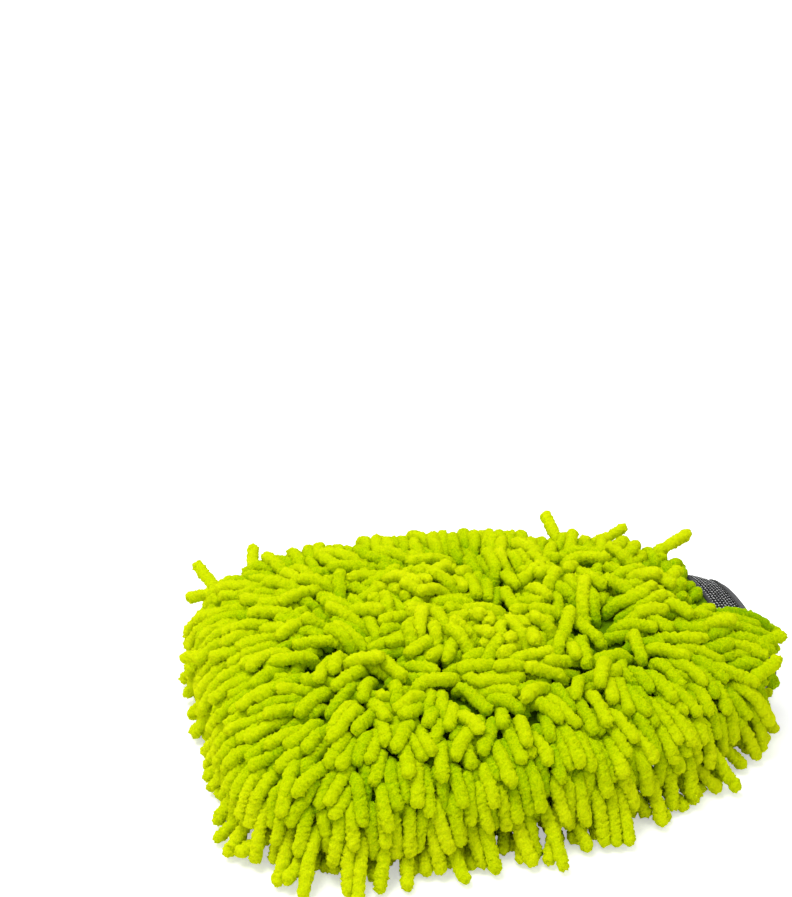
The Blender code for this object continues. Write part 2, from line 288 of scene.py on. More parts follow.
def near_pairs(points, strand, reach):
    """Every pair of points of different strands that lie within reach of each other."""
    cell = np.floor((points - points.min(0)) / reach).astype(np.int64)
    span = cell.max(0) + 3
    key = ((cell[:, 0] + 1) * span[1] + cell[:, 1] + 1) * span[2] + cell[:, 2] + 1
    order = np.argsort(key, kind="stable")
    ranked = key[order]
    firsts, seconds = [], []
    for dx, dy, dz in itertools.product((-1, 0, 1), repeat=3):
        offset = (dx * span[1] + dy) * span[2] + dz
        if offset < 0:
            continue
        low = np.searchsorted(ranked, key + offset, "left")
        high = np.searchsorted(ranked, key + offset, "right")
        counts = high - low
        first = np.repeat(np.arange(len(points)), counts)
        run = np.arange(counts.sum()) - np.repeat(np.cumsum(counts) - counts, counts)
        second = order[np.repeat(low, counts) + run]
        keep = strand[first] != strand[second]
        if offset == 0:
            keep &= first < second
        firsts.append(first[keep])
        seconds.append(second[keep])
    first, second = np.concatenate(firsts), np.concatenate(seconds)
    close = np.sum((points[first] - points[second]) ** 2, axis=1) < reach**2
    return first[close], second[close]


# How the strands settle: the fall and the most that a point moves in a step, and what it keeps of its speed.
SETTLE_STEPS = 240
FALL = 0.000075
KEPT_SPEED = 0.86
TOP_SPEED = 0.0012
BEND_BACK = 0.22
ROOT_GRIPS = (0.55, 0.12)
FULL_CONTACT = 0.90


def settle(roots, leans, lengths, radii, stiffness, field):
    """Let the strands fall under their weight, bend, and press on each other, the body and the floor."""
    count = len(roots)
    links = LINKS
    seg = (lengths / links)[:, None]
    along = np.arange(links + 1)[None, :, None]
    points = roots[:, None, :] + leans[:, None, :] * seg[:, :, None] * along
    points[..., 2] = np.maximum(points[..., 2], radii[:, None] * 0.9)
    velocity = np.zeros_like(points)
    strand = np.repeat(np.arange(count), links + 1)
    grip = np.zeros((count, links + 1))
    grip[:, 1], grip[:, 2] = ROOT_GRIPS
    grip[:, 1:] = np.maximum(grip[:, 1:], stiffness[:, None])
    stiff = np.flatnonzero(stiffness > 0)
    first = second = None
    for step in range(SETTLE_STEPS):
        grown = min(1.0, 0.35 + 0.65 * step / (SETTLE_STEPS * 0.45))
        velocity *= KEPT_SPEED
        velocity[..., 2] -= FALL
        before = points.copy()
        points = points + velocity
        for _ in range(3):
            bend = (points[:, :-2] + points[:, 2:]) / 2 - points[:, 1:-1]
            points[:, 1:-1] += BEND_BACK * bend
            points[:, 2:] -= BEND_BACK / 2 * bend
            for i in (1, 2):
                wanted = roots + leans * seg * i
                points[:, i] += grip[:, i, None] * (wanted - points[:, i])
            for i in range(3, links + 1):
                wanted = roots[stiff] + leans[stiff] * seg[stiff] * i
                points[stiff, i] += stiffness[stiff, None] * (wanted - points[stiff, i])
            points[:, 0] = roots
            for i in range(links):
                gap = points[:, i + 1] - points[:, i]
                long = np.linalg.norm(gap, axis=1, keepdims=True)
                fix = gap * (1 - seg / np.maximum(long, 1e-9))
                share = 1.0 if i == 0 else 0.5
                points[:, i + 1] -= fix * share
                if i:
                    points[:, i] += fix * 0.5
        flat = points.reshape(-1, 3)
        reach = 2 * radii.max()
        if step % 3 == 0:
            first, second = near_pairs(flat, strand, reach * 1.25)
        contact = FULL_CONTACT * grown * (radii[strand[first]] + radii[strand[second]])
        apart = flat[first] - flat[second]
        distance = np.linalg.norm(apart, axis=1)
        push = np.clip(contact - distance, 0, None)
        hit = push > 0
        way = apart[hit] / np.maximum(distance[hit, None], 1e-9) * push[hit, None] * 0.5
        shift = np.zeros_like(flat)
        load = np.ones(len(flat))
        for axis in range(3):
            shift[:, axis] += np.bincount(first[hit], way[:, axis], len(flat))
            shift[:, axis] -= np.bincount(second[hit], way[:, axis], len(flat))
        load += np.bincount(first[hit], minlength=len(flat)) + np.bincount(second[hit], minlength=len(flat))
        flat = flat + shift / np.maximum(load[:, None] * 0.45, 1.0)
        off, outward = field.sample(flat)
        room = np.tile(np.concatenate([[0, 0.5], np.full(links - 1, 0.9)]), count) * radii[strand]
        flat = flat + outward * np.clip(room - off, 0, None)[:, None]
        flat[:, 2] = np.maximum(flat[:, 2], radii[strand] * 0.95)
        points = flat.reshape(count, links + 1, 3)
        points[:, 0] = roots
        velocity = np.clip(points - before, -TOP_SPEED, TOP_SPEED)
    return points


rng = np.random.default_rng(SEED)
field = BodyField()
roots, sides, rows = plant_roots(rng)
_, normals = field.sample(roots)
lengths = np.where(sides == 0, TOP_STRAND, BOTTOM_STRAND)
lengths += STRAND_LENGTH_SPREAD * np.clip(rng.standard_normal(len(roots)), -2, 2)
across = roots[:, 1]
lengths[(sides == 1) & (np.abs(across) > HANGING_START_Y)] += HANGING_EXTRA
lengths[(roots[:, 0] > BACK_STRANDS_X) & (across > CORNER_SPLIT_Y)] = BACK_CORNER_STRAND
lengths[(roots[:, 0] > BACK_STRANDS_X) & (across > BACK_EDGE_Y)] = BACK_EDGE_STRAND
lengths[(roots[:, 0] > MOUTH_STRANDS_X) & (across < CORNER_SPLIT_Y) & (sides == 0)] = MOUTH_STRAND
radii = STRAND_RADIUS * rng.uniform(0.94, 1.06, len(roots))
leans = lean_directions(roots, normals, sides, rng)
stiffness = np.zeros(len(roots))
for place, reach in STRAYS:
    gap = np.linalg.norm(roots + normals * STRAY_ROOT_LIFT - np.array(place), axis=1)
    gap[stiffness > 0] = TAKEN
    chosen = int(np.argmin(np.abs(gap - reach)))
    way = np.array(place) - roots[chosen]
    lengths[chosen] = max(np.linalg.norm(way), BOTTOM_STRAND)
    leans[chosen] = way / np.linalg.norm(way)
    stiffness[chosen] = STRAY_STIFFNESS
paths = settle(roots, leans, lengths, radii, stiffness, field)


def add_object(name, data):
    """Puts a new object of the given mesh, lamp or camera into the scene."""
    obj = bpy.data.objects.new(name, data)
    bpy.context.scene.collection.objects.link(obj)
    return obj


# ---------------------------------------------------------------- node trees

def socket(tree, name, kind, default=None, out=False):
    """Adds one named socket to a node group."""
    made = tree.interface.new_socket(name, in_out="OUTPUT" if out else "INPUT", socket_type=kind)
    if default is not None:
        made.default_value = default
    return made


def numbers(tree, defaults):
    """Adds a number input for each name, with its default."""
    for name, default in defaults.items():
        socket(tree, name, "NodeSocketFloat", default)


def node(tree, kind, inputs=None, **settings):
    """Adds a node; inputs holds a value or an output socket for each input, by name or number."""
    made = tree.nodes.new(kind)
    for key, value in settings.items():
        setattr(made, key, value)
    for key, value in (inputs or {}).items():
        if isinstance(value, bpy.types.NodeSocket):
            tree.links.new(value, made.inputs[key])
        else:
            made.inputs[key].default_value = value
    return made


def maths(tree, operation, first, second=0.0, third=0.0):
    """One sum, whose inputs are numbers or output sockets."""
    return node(tree, "ShaderNodeMath", {0: first, 1: second, 2: third}, operation=operation).outputs[0]


def ramp(tree, factor, stops):
    """A colour ramp through the given places and colours."""
    made = node(tree, "ShaderNodeValToRGB", {"Fac": factor})
    elements = made.color_ramp.elements
    while len(elements) < len(stops):
        elements.new(0.5)
    for element, (place, colour) in zip(elements, stops):
        element.position = place
        element.color = (*colour, 1.0)
    return made.outputs["Color"]


def run_tree(obj, tree, values):
    """Runs a geometry tree on an object and keeps the result as its plain mesh."""
    modifier = obj.modifiers.new(tree.name, "NODES")
    modifier.node_group = tree
    for item in tree.interface.items_tree:
        if item.item_type == "SOCKET" and item.in_out == "INPUT" and item.name in values:
            modifier[item.identifier] = values[item.name]
    evaluated = obj.evaluated_get(bpy.context.evaluated_depsgraph_get())
    mesh = bpy.data.meshes.new_from_object(evaluated)
    obj.modifiers.remove(modifier)
    old = obj.data
    obj.data = mesh
    mesh.name = obj.name
    bpy.data.meshes.remove(old)
    return obj


def strand_tree():
    """Sweeps lines into chenille strands: round tubes of varying thickness with a lumpy, napped skin."""
    tree = bpy.data.node_groups.new("chenille_strands", "GeometryNodeTree")
    socket(tree, "Paths", "NodeSocketGeometry")
    socket(tree, "Sides", "NodeSocketInt", 13)
    numbers(tree, {"Lump Height": 0.00035, "Lump Size": 0.006, "Tuft Height": 0.00110, "Tuft Size": 0.0009,
                   "Seed": 0.0})
    socket(tree, "Material", "NodeSocketMaterial")
    socket(tree, "Strands", "NodeSocketGeometry", out=True)
    given = node(tree, "NodeGroupInput").outputs
    lines = node(tree, "GeometryNodeMeshToCurve", {"Mesh": given["Paths"]})
    thickness = node(tree, "GeometryNodeInputNamedAttribute", {"Name": "thickness"}, data_type="FLOAT")
    profile = node(tree, "GeometryNodeCurvePrimitiveCircle", {"Resolution": given["Sides"], "Radius": 1.0})
    tubes = node(tree, "GeometryNodeCurveToMesh", {"Curve": lines.outputs[0],
                                                   "Profile Curve": profile.outputs[0],
                                                   "Scale": thickness.outputs[0],
                                                   "Fill Caps": True})
    position = node(tree, "GeometryNodeInputPosition").outputs[0]
    lumps = surface_noise(tree, position, given["Lump Size"], given["Seed"], 1.0)
    tufts = surface_noise(tree, position, given["Tuft Size"], given["Seed"], 2.0)
    height = maths(tree, "ADD", maths(tree, "MULTIPLY", lumps, given["Lump Height"]),
                   maths(tree, "MULTIPLY", tufts, given["Tuft Height"]))
    normal = node(tree, "GeometryNodeInputNormal").outputs[0]
    offset = node(tree, "ShaderNodeVectorMath", {0: normal, "Scale": height}, operation="SCALE")
    moved = node(tree, "GeometryNodeSetPosition", {"Geometry": tubes.outputs[0], "Offset": offset.outputs[0]})
    smooth = node(tree, "GeometryNodeSetShadeSmooth", {"Geometry": moved.outputs[0]})
    finish_tree(tree, smooth.outputs[0], given["Material"], "Strands")
    return tree


def surface_noise(tree, position, size, seed, detail):
    """Noise from -1 to 1 with lumps of the given size."""
    scale = maths(tree, "DIVIDE", 1.0, size)
    noise = node(tree, "ShaderNodeTexNoise",
                 {"Vector": position, "W": seed, "Scale": scale, "Detail": detail}, noise_dimensions="4D")
    return maths(tree, "MULTIPLY_ADD", noise.outputs[0], 4.0, -2.0)


def finish_tree(tree, geometry, material, output):
    """Ends a geometry tree: instances made real, then the material set."""
    real = node(tree, "GeometryNodeRealizeInstances", {"Geometry": geometry})
    named = node(tree, "GeometryNodeSetMaterial", {"Geometry": real.outputs[0], "Material": material})
    node(tree, "NodeGroupOutput", {output: named.outputs[0]})


# ---------------------------------------------------------------- materials

def nap_group():
    """Short cut fibres: colour variation and a bump height from fine noise."""
    tree = bpy.data.node_groups.new("cut_nap", "ShaderNodeTree")
    socket(tree, "Vector", "NodeSocketVector")
    numbers(tree, {"Tuft Size": 0.0012, "Fibre Size": 0.0004})
    socket(tree, "Height", "NodeSocketFloat", out=True)
    socket(tree, "Shade", "NodeSocketFloat", out=True)
    given = node(tree, "NodeGroupInput").outputs
    tufts = node(tree, "ShaderNodeTexNoise", {"Vector": given["Vector"], "Detail": 2.0, "Roughness": 0.6,
                                              "Scale": maths(tree, "DIVIDE", 1.0, given["Tuft Size"])})
    fibres = node(tree, "ShaderNodeTexVoronoi", {"Vector": given["Vector"], "Randomness": 1.0,
                                                 "Scale": maths(tree, "DIVIDE", 1.0, given["Fibre Size"])})
    height = maths(tree, "MULTIPLY_ADD", fibres.outputs["Distance"], -0.45, tufts.outputs[0])
    node(tree, "NodeGroupOutput", {"Height": height, "Shade": tufts.outputs[0]})
    return tree


def new_material(name, roughness, sheen=0.0, sheen_tint=(1, 1, 1), sheen_roughness=0.5, specular=0.2):
    """A material with its Principled shader, whose uniform values sit on the shader's own sockets."""
    material = bpy.data.materials.new(name)
    material.use_nodes = True
    tree = material.node_tree
    shader = tree.nodes["Principled BSDF"]
    values = {"Roughness": roughness, "Specular IOR Level": specular, "Sheen Weight": sheen,
              "Sheen Tint": (*sheen_tint, 1.0), "Sheen Roughness": sheen_roughness}
    for label, value in values.items():
        shader.inputs[label].default_value = value
    return material, tree, shader


def paint(tree, shader, colour, height, strength, distance):
    """Gives a shader its colour and its bump."""
    tree.links.new(colour, shader.inputs["Base Color"])
    bump = node(tree, "ShaderNodeBump", {"Height": height, "Strength": strength, "Distance": distance})
    tree.links.new(bump.outputs[0], shader.inputs["Normal"])


def chenille_material(nap):
    """The strands: darker and greener down in the pile and paler at its outside, as painted shade, with a
    soft sheen.
    """
    material, tree, shader = new_material("lime_chenille", 1.0, sheen=0.30, sheen_tint=(0.80, 0.95, 0.0),
                                          sheen_roughness=0.5, specular=0.02)
    shader.inputs["Subsurface Weight"].default_value = 0.50
    shader.inputs["Subsurface Radius"].default_value = (1.0, 1.0, 0.1)
    shader.inputs["Subsurface Scale"].default_value = 0.0020
    place = node(tree, "ShaderNodeTexCoord").outputs["Object"]
    fibres = node(tree, "ShaderNodeGroup", {"Vector": place, "Tuft Size": 0.0009, "Fibre Size": 0.0005},
                  node_tree=nap)
    tint = node(tree, "ShaderNodeAttribute", attribute_name="strand_tint").outputs["Fac"]
    # Painted shade: each point's height in the pile makes its colour darker and greener near the skin.
    painted_shade_height = node(tree, "ShaderNodeAttribute", attribute_name="painted_shade_height").outputs["Fac"]
    shade = maths(tree, "MULTIPLY_ADD", fibres.outputs["Shade"], 0.68, maths(tree, "MULTIPLY", tint, 0.18))
    shade = maths(tree, "MULTIPLY_ADD", painted_shade_height, 0.42, shade)
    colour = ramp(tree, shade, [(0.36, (0.23, 0.47, 0.0)), (0.64, (0.55, 0.71, 0.0)),
                                (0.98, (0.75, 0.85, 0.003))])
    paint(tree, shader, colour, fibres.outputs["Height"], 1.0, 0.0008)
    return material


def stitch_group(name, sizes):
    """Starts a group from UVs in metres to a height; gives its tree, its inputs and the UVs' two parts."""
    tree = bpy.data.node_groups.new(name, "ShaderNodeTree")
    socket(tree, "UV", "NodeSocketVector")
    numbers(tree, sizes)
    socket(tree, "Height", "NodeSocketFloat", out=True)
    given = node(tree, "NodeGroupInput").outputs
    return tree, given, node(tree, "ShaderNodeSeparateXYZ", {0: given["UV"]}).outputs


def knit_group():
    """Columns of small V stitches."""
    tree, given, split = stitch_group("fine_knit", {"Column": 0.0008, "Course": 0.0007})
    across = maths(tree, "FRACT", maths(tree, "DIVIDE", split[0], given["Column"]))
    arm = maths(tree, "ABSOLUTE", maths(tree, "SUBTRACT", across, 0.5))
    rise = maths(tree, "ADD", maths(tree, "DIVIDE", split[1], given["Course"]), arm)
    course = maths(tree, "SINE", maths(tree, "MULTIPLY", rise, math.tau))
    column = maths(tree, "SINE", maths(tree, "MULTIPLY", across, math.pi))
    height = maths(tree, "MULTIPLY", column, maths(tree, "MULTIPLY_ADD", course, 0.35, 0.65))
    node(tree, "NodeGroupOutput", {"Height": height})
    return tree


def rib_group():
    """Straight ribs across the second direction of the UVs."""
    tree, given, split = stitch_group("woven_ribs", {"Rib": 0.0006, "Pick": 0.0004})
    along = maths(tree, "DIVIDE", split[1], given["Rib"])
    picks = maths(tree, "DIVIDE", split[0], given["Pick"])
    rib = maths(tree, "ABSOLUTE", maths(tree, "SINE", maths(tree, "MULTIPLY", along, math.pi)))
    pick = maths(tree, "SINE", maths(tree, "MULTIPLY", picks, math.tau))
    height = maths(tree, "MULTIPLY", rib, maths(tree, "MULTIPLY_ADD", pick, 0.2, 0.8))
    node(tree, "NodeGroupOutput", {"Height": height})
    return tree


def cloth_material(name, group, sizes, low, high, depth, sheen=0.2):
    """A textile from one of the stitch groups: dark between its stitches and light on them, as painted shade
    in the stitch hollows.
    """
    material, tree, shader = new_material(name, 0.95, sheen=sheen, specular=0.05)
    place = node(tree, "ShaderNodeUVMap", uv_map="metres").outputs[0]
    stitches = node(tree, "ShaderNodeGroup", {"UV": place, **sizes}, node_tree=group)
    # Painted shade: colour runs from the low colour in the stitch hollows to the high colour on the stitches.
    colour = ramp(tree, stitches.outputs["Height"], [(0.1, low), (0.9, high)])
    paint(tree, shader, colour, stitches.outputs["Height"], 0.8, depth)
    return material


def foam_material():
    """Pale foam with open pores, darker towards the middle of each pore as painted shade."""
    material, tree, shader = new_material("open_cell_foam", 0.95, specular=0.1)
    place = node(tree, "ShaderNodeTexCoord").outputs["Object"]
    pores = node(tree, "ShaderNodeTexVoronoi", {"Vector": place, "Scale": 900.0})
    # Painted shade: darker towards the middle of each pore.
    colour = ramp(tree, pores.outputs["Distance"], [(0.1, (0.38, 0.37, 0.31)), (0.5, (0.78, 0.77, 0.69))])
    paint(tree, shader, colour, pores.outputs["Distance"], 0.7, 0.0004)
    return material


def napped_material(name, nap, low, high, sizes, sheen):
    """A brushed or hairy textile: fine fibres on object coordinates."""
    material, tree, shader = new_material(name, 0.95, sheen=sheen, specular=0.05)
    place = node(tree, "ShaderNodeTexCoord").outputs["Object"]
    fibres = node(tree, "ShaderNodeGroup", {"Vector": place, **sizes}, node_tree=nap)
    colour = ramp(tree, fibres.outputs["Shade"], [(0.3, low), (0.7, high)])
    paint(tree, shader, colour, fibres.outputs["Height"], 0.6, 0.0003)
    return material


def build_materials(nap):
    """Every material of the mitt, by what it is for."""
    knit, ribs = knit_group(), rib_group()
    fine = {"Tuft Size": 0.0004, "Fibre Size": 0.0002}
    return {
        "chenille": chenille_material(nap),
        # The base cloth: lime, made darker and greener than the strands as painted shade where it shows
        # between them.
        "cloth": cloth_material("lime_base_knit", knit, {"Column": 0.0009, "Course": 0.0008},
                                (0.08, 0.18, 0.0), (0.22, 0.38, 0.0), 0.0003, sheen=0.0),
        "foam": foam_material(),
        "lining": napped_material("brushed_lining", nap, (0.16, 0.17, 0.18), (0.30, 0.31, 0.32), fine, 0.4),
        "knit": cloth_material("dark_cuff_knit", knit, {"Column": 0.0008, "Course": 0.0007},
                               (0.006, 0.006, 0.007), (0.034, 0.035, 0.037), 0.0003, sheen=0.03),
        "fleck": napped_material("pale_flecks", nap, (0.55, 0.56, 0.57), (0.78, 0.79, 0.80), fine, 0.3),
        "elastic": cloth_material("ribbed_elastic", ribs, {"Rib": 0.0011, "Pick": 0.0006},
                                  (0.45, 0.45, 0.43), (0.78, 0.78, 0.75), 0.0003),
        "binding": cloth_material("ribbed_binding", ribs, {"Rib": 0.0006, "Pick": 0.0005},
                                  (0.025, 0.026, 0.027), (0.085, 0.088, 0.090), 0.0002),
        "thread": napped_material("lime_thread", nap, (0.24, 0.34, 0.0), (0.40, 0.50, 0.01), fine, 0.2),
        "cuff_thread": napped_material("grey_thread", nap, (0.06, 0.06, 0.065), (0.13, 0.13, 0.14), fine,
                                       0.2),
    }


# ---------------------------------------------------------------- strands as pieces

TIP_RINGS = [(1.0, 1.0), (0.62, 0.925), (0.30, 0.714), (0.10, 0.44), (0.02, 0.20), (0.0, 0.02)]
RING_STEP = 0.0008
ROOT_SHARE, ROOT_TAPER = 0.35, 0.0035


def fit(piece, node_name):
    """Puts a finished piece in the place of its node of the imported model."""
    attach(piece, "root")
    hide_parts(node_name)
    return piece


def along_path(points, seg, distances):
    """Places at the given distances along a strand, on a smooth curve through its points."""
    padded = np.vstack([2 * points[0] - points[1], points, 2 * points[-1] - points[-2]])
    place = np.clip(distances / seg, 0, len(points) - 1 - 1e-6)
    at = place.astype(int)
    t = (place - at)[:, None]
    a, b, c, d = (padded[at + k] for k in range(4))
    return 0.5 * (2 * b + (c - a) * t + (2 * a - 5 * b + 4 * c - d) * t**2 + (3 * b - a - 3 * c + d) * t**3)


def line_object(name, runs):
    """A mesh of open lines. Each run is its points and a dictionary of named values at them."""
    edges, start = [], 0
    for points, _ in runs:
        edges.extend((start + i, start + i + 1) for i in range(len(points) - 1))
        start += len(points)
    mesh = bpy.data.meshes.new(name)
    mesh.from_pydata(np.concatenate([points for points, _ in runs]).tolist(), edges, [])
    for label in runs[0][1]:
        values = np.concatenate([facts[label] for _, facts in runs])
        mesh.attributes.new(label, "FLOAT", "POINT").data.foreach_set("value", values.astype(np.float32))
    return add_object(name, mesh)


def strand_lines(name, chosen):
    """One mesh of open lines, one for each chosen strand, with its thickness at each point."""
    runs = []
    for index in chosen:
        length, radius = lengths[index], radii[index]
        count = max(int(round((length - radius) / RING_STEP)), 4)
        distances = np.concatenate([np.linspace(0, length - radius, count, endpoint=False),
                                    [length - radius * share for share, _ in TIP_RINGS]])
        stem = np.minimum(ROOT_SHARE + (1 - ROOT_SHARE) * distances[:count] / ROOT_TAPER, 1)
        widths = radius * np.concatenate([stem, [wide for _, wide in TIP_RINGS]])
        points = along_path(paths[index], length / LINKS, distances)
        tint = np.full(len(points), strand_tints[index])
        # Each point's height in the pile, carried to the material as painted shade.
        painted_shade_height = np.clip(field.sample(points)[0] / PILE_DEPTH, 0, 1)
        runs.append((points, {"thickness": widths, "strand_tint": tint, "painted_shade_height": painted_shade_height}))
    return line_object(name, runs)


def build_strands(tree, material):
    """The strands of each row of both panels, as one piece a row; gives the pieces of each panel."""
    made = {"top": [], "bottom": []}
    for side, label in ((0, "top"), (1, "bottom")):
        for row in range(ROWS):
            chosen = np.flatnonzero((sides == side) & (rows == row))
            piece = strand_lines(f"{label}_chenille_strands_{row + 1:02d}", chosen)
            run_tree(piece, tree, {"Seed": float(row + ROWS * side), "Material": material})
            made[label].append(fit(piece, f"{label}_chenille_row_{row + 1:02d}"))
    return made


# ---------------------------------------------------------------- cloth, foam and lining

# Thicknesses of the layers, the gap between two of them, and the least height of a panel's rim.
CLOTH, FOAM, LINING, PLY = 0.0010, 0.0035, 0.0008, 0.0010
GAP = 0.0003
RIM = 0.0012
FOAM_DEPTH = CLOTH + GAP
LINING_DEPTH = FOAM_DEPTH + FOAM + GAP
INNER_PLY_DEPTH = FOAM_DEPTH + FOAM - PLY
FOAM_END_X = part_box("top_foam_sheet")[1].x
NOSE_STEPS, BODY_STEPS, ACROSS_STEPS, AROUND_STEPS = 22, 60, 97, 176
TURN = np.linspace(0, 2 * math.pi, AROUND_STEPS, endpoint=False)


def distances_along(points, axis):
    """How far each point of a grid is from the first one of its line, along an axis of the grid."""
    steps = np.linalg.norm(np.diff(points, axis=axis), axis=-1)
    first = np.zeros_like(np.take(steps, [0], axis=axis))
    return np.concatenate([first, np.cumsum(steps, axis=axis)], axis=axis)


def cells(grid):
    """The four corners of each cell of a grid of numbers."""
    return np.stack([grid[:-1, :-1], grid[1:, :-1], grid[1:, 1:], grid[:-1, 1:]], -1).reshape(-1, 4)


def looped(grid):
    """A grid with its first row and its first column again at its ends."""
    grid = np.concatenate([grid, grid[:1]])
    return np.concatenate([grid, grid[:, :1]], axis=1)


def closed_piece(name, points, faces, uvs, material):
    """A piece from points, four-cornered faces and the UVs of their corners, faces turned outwards."""
    mesh = bpy.data.meshes.new(name)
    mesh.from_pydata(points.reshape(-1, 3).tolist(), [], faces.tolist())
    mesh.uv_layers.new(name="metres").data.foreach_set("uv", uvs.reshape(-1).astype(np.float32))
    shape = bmesh.new()
    shape.from_mesh(mesh)
    bmesh.ops.recalc_face_normals(shape, faces=shape.faces)
    shape.to_mesh(mesh)
    shape.free()
    mesh.materials.append(material)
    mesh.shade_smooth()
    mesh.set_sharp_from_angle(angle=math.radians(50))
    return add_object(name, mesh)


def panel_piece(name, upper, depth, thickness, end_x, material):
    """One layer of a panel, closed round its rim, with UVs in metres."""
    faces_at = []
    for under in (depth, depth + thickness):
        x = stations(end_x, NOSE_STEPS, BODY_STEPS, under)
        angles = np.linspace(0, math.pi, ACROSS_STEPS)
        faces_at.append(body_point(x[None, :], angles[:, None], under, RIM, upper))
    grid = np.array(faces_at)
    number = np.arange(grid[..., 0].size).reshape(grid.shape[:3])
    uv = np.stack([distances_along(grid, 1), distances_along(grid, 2)], -1)
    rims = [number[:, 0], number[:, -1], number[:, :, 0], number[:, :, -1]]
    faces = np.concatenate([cells(number[0]), cells(number[1]), *(cells(rim) for rim in rims)])
    return closed_piece(name, grid, faces, uv.reshape(-1, 2)[faces], material)


def ring_piece(name, outline, material):
    """A band round the cuff; outline is its section as a closed run of places, each an x and a depth."""
    section = np.array(outline)
    points = body_point(section[:, None, 0], TURN[None, :], section[:, None, 1])
    round_trip = looped(points)
    number = looped(np.arange(points[..., 0].size).reshape(points.shape[:2]))
    uv = np.stack([distances_along(round_trip, 1), distances_along(round_trip, 0)], -1).reshape(-1, 2)
    corners = cells(np.arange(number.size).reshape(number.shape))
    return closed_piece(name, points, cells(number), uv[corners], material)


def band_outline(start_x, end_x, depth, thickness, steps=14):
    """The section of a plain band, from start_x to end_x and back under itself."""
    x = np.linspace(start_x, end_x, steps)
    return [(place, depth) for place in x] + [(place, depth + thickness) for place in x[::-1]]


def build_panels(materials):
    """The base cloth, foam and lining of both panels."""
    for label, upper in (("top", True), ("bottom", False)):
        foam = panel_piece(f"{label}_foam", upper, FOAM_DEPTH, FOAM, FOAM_END_X, materials["foam"])
        fit(foam, f"{label}_foam_sheet")
        cloth = panel_piece(f"{label}_cloth", upper, 0.0, CLOTH, CLOTH_END_X, materials["cloth"])
        fit(cloth, f"{label}_base_cloth")
        lining = panel_piece(f"{label}_lining", upper, LINING_DEPTH, LINING, FOAM_END_X,
                             materials["lining"])
        fit(lining, f"{label}_lining_panel")


# ---------------------------------------------------------------- cuff

PLY_END_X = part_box("cuff_outer_ply")[1].x
ELASTIC_LOW, ELASTIC_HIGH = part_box("cuff_elastic_band")
BINDING_START_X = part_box("cuff_edge_binding")[0].x
JOIN_LOW, JOIN_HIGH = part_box("cuff_join_overlock")
STITCH_LOW, STITCH_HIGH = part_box("cuff_topstitch_thread")
ELASTIC, BINDING = 0.0009, 0.0009
BINDING_ROUND = 0.0012

# Threads.
STITCH_LENGTH, STITCH_PITCH, STITCH_RADIUS = 0.0026, 0.0032, 0.00024
OVERLOCK_PITCH, OVERLOCK_RADIUS = 0.0013, 0.00042
SEAM_WIDTH = 0.0070
JOIN_RADIUS, JOIN_HALF = 0.00034, 0.0007


def build_cuff_layers(materials):
    """Both plies of the cuff, the elastic between them and the tape bound over their edges."""
    outer = ring_piece("cuff_outer_knit", band_outline(CUFF_START_X, PLY_END_X, FOAM_DEPTH, PLY),
                       materials["knit"])
    inner = ring_piece("cuff_inner_knit", band_outline(CUFF_START_X, PLY_END_X, INNER_PLY_DEPTH, PLY),
                       materials["knit"])
    elastic = ring_piece("cuff_elastic", band_outline(ELASTIC_LOW.x, ELASTIC_HIGH.x, FOAM_DEPTH + PLY + GAP,
                                                      ELASTIC), materials["elastic"])
    binding = ring_piece("cuff_binding", binding_outline(), materials["binding"])
    fit(outer, "cuff_outer_ply")
    fit(inner, "cuff_inner_ply")
    fit(elastic, "cuff_elastic_band")
    fit(binding, "cuff_edge_binding")
    grains = fleck_tree()
    flecks = [fleck_piece("cuff_outer_flecks", FOAM_DEPTH, 1, grains, materials["fleck"]),
              fleck_piece("cuff_inner_flecks", INNER_PLY_DEPTH + PLY, -1, grains, materials["fleck"])]


def binding_outline():
    """The section of the tape: over both plies, round their ends, with a soft outer fold."""
    outside = FOAM_DEPTH - GAP - BINDING
    inner_face = INNER_PLY_DEPTH + PLY + GAP
    inside = inner_face + BINDING
    turn = np.linspace(0, math.pi / 2, 6)
    curl = BINDING_ROUND
    fold_x = MOUTH_X - curl
    upper = [(fold_x + curl * math.sin(t), outside + curl * (1 - math.cos(t))) for t in turn]
    lower = [(fold_x + curl * math.cos(t), inside - curl * (1 - math.sin(t))) for t in turn]
    web_x = PLY_END_X + GAP
    return [(BINDING_START_X, outside), *upper, *lower, (BINDING_START_X, inside),
            (BINDING_START_X, inner_face), (web_x, inner_face), (web_x, FOAM_DEPTH - GAP),
            (BINDING_START_X, FOAM_DEPTH - GAP)]


def ring_angles(x, depth, pitch, shift=0.0):
    """Angles a steady distance apart round the cuff at x."""
    fine = np.linspace(0, 2 * math.pi, 2001)
    travelled = distances_along(body_point(x, fine, depth), 0)
    count = int(round(travelled[-1] / pitch))
    return np.interp((np.arange(count) + shift) / count * travelled[-1], travelled, fine)


FLECK_ROW, FLECK_PITCH = 0.0018, 0.0022
FLECK_SLANT = math.radians(40)
FLECK_LIFT = 0.00006


